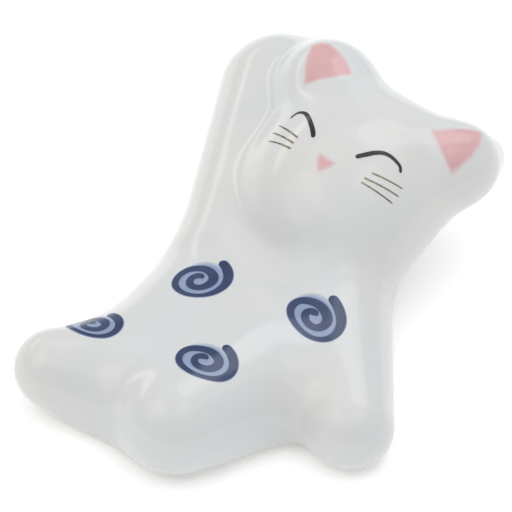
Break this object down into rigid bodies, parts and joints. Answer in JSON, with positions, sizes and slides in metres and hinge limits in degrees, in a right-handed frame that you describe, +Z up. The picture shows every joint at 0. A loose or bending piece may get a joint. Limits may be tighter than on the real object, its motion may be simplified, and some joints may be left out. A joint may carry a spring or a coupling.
{
  "type": "chopstick rest",
  "caption": "Glazed porcelain chopstick rest shaped as a cat lying on its back with an arm raised beside its head; chopsticks lie across the belly against the chin.",
  "frame": {"origin": "on the table, at the middle of the base's bounding box in plan", "axes": "+X from the feet to the crown of the head, +Y to the cat's own right, +Z up from the table"},
  "size_m": [0.0602, 0.0479, 0.0198],
  "materials": {
    "bare_porcelain": "matt",
    "clear_glaze": "glossy",
    "pink_enamel": "glossy",
    "black_enamel": "glossy",
    "dark_blue_enamel": "glossy",
    "pale_blue_enamel": "glossy",
    "gold_lustre": "lustre"
  },
  "bodies": {
    "root": {"porcelain_body": "bare_porcelain", "glaze_coat": "clear_glaze", "ear_patch_right": "pink_enamel", "ear_patch_left": "pink_enamel", "nose_patch": "pink_enamel", "eye_line_right": "black_enamel", "eye_line_left": "black_enamel", "whiskers_right": "gold_lustre", "whiskers_left": "gold_lustre", "swirl_line_belly": "dark_blue_enamel", "swirl_line_arm": "dark_blue_enamel", "swirl_line_leg": "dark_blue_enamel", "swirl_line_hip": "dark_blue_enamel", "swirl_wash_belly": "pale_blue_enamel", "swirl_wash_arm": "pale_blue_enamel", "swirl_wash_leg": "pale_blue_enamel", "swirl_wash_hip": "pale_blue_enamel"}
  },
  "joints": []
}
